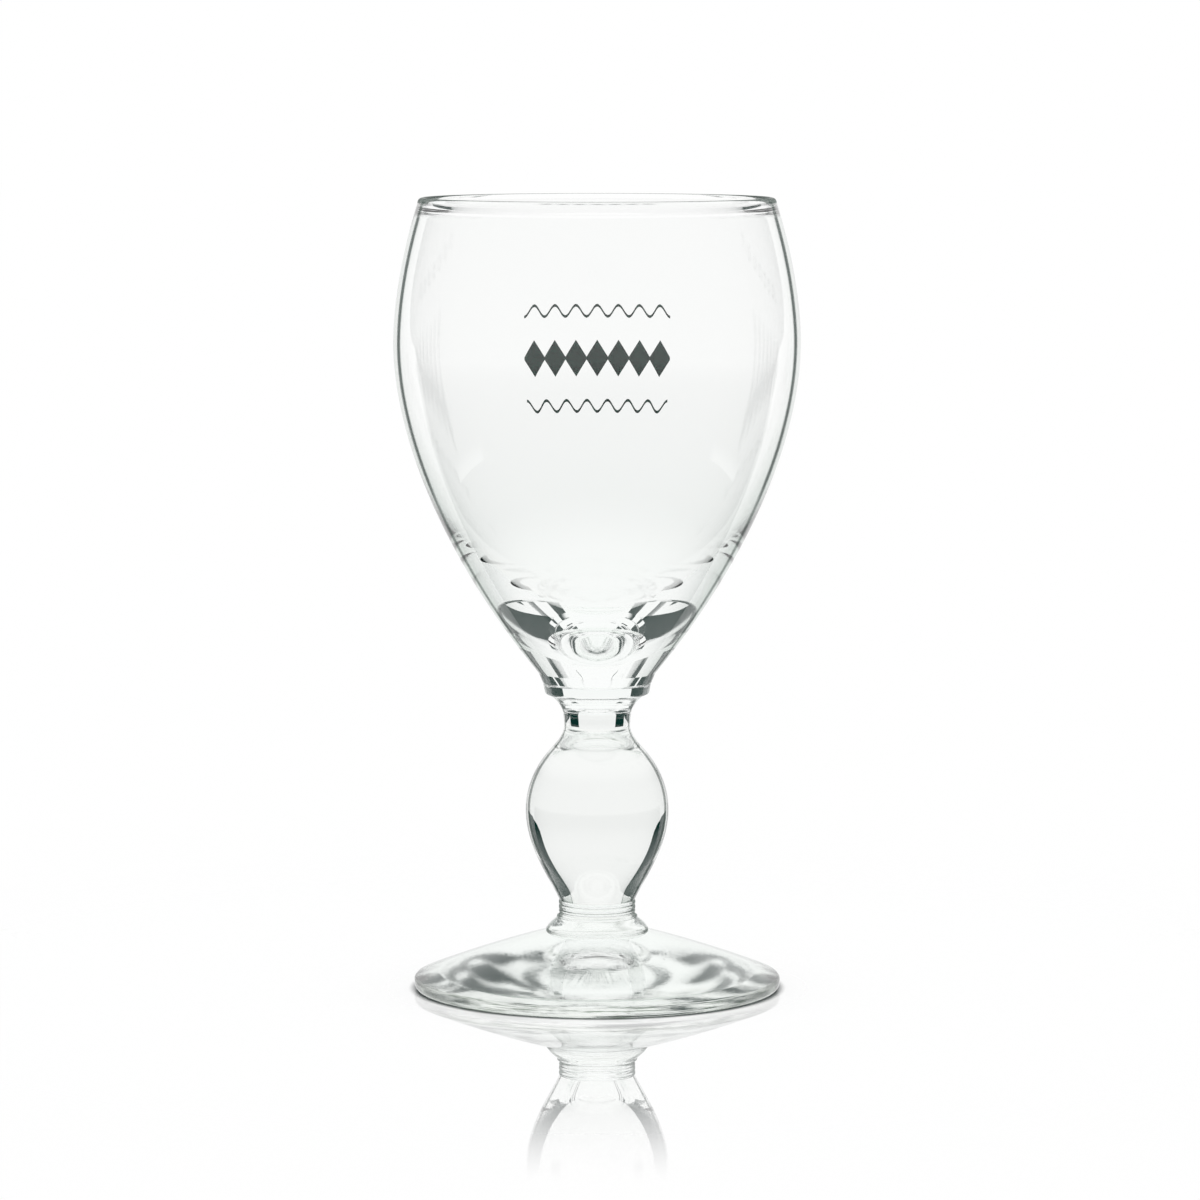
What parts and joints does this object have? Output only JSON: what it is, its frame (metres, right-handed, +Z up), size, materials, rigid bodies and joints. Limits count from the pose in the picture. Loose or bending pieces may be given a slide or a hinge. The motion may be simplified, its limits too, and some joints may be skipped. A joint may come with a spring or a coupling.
{
  "type": "stemmed glass goblet",
  "caption": "Clear glass goblet for hot whisky drinks: barrel bowl with a beaded rim on a thick base, solid bulb stem between welded collars, conical foot, and a small green enamel ornament.",
  "frame": {"origin": "On the goblet's axis, in the plane that the foot's resting ring stands on.", "axes": "+Z is up, along the axis of revolution. The enamel ornament faces +Y, so -Y is the plain side that the picture was taken from."},
  "size_m": [0.07, 0.0706, 0.137],
  "materials": {
    "clear_glass": "fire-polished clear soda-lime glass with a faint green cast",
    "green_enamel": "fired dark green glass enamel, satin"
  },
  "bodies": {
    "root": {"foot": "clear_glass", "lower_collar": "clear_glass", "stem": "clear_glass", "upper_collar": "clear_glass", "bowl": "clear_glass", "enamel_lozenges": "green_enamel", "enamel_wave_upper": "green_enamel", "enamel_wave_lower": "green_enamel"}
  },
  "joints": []
}
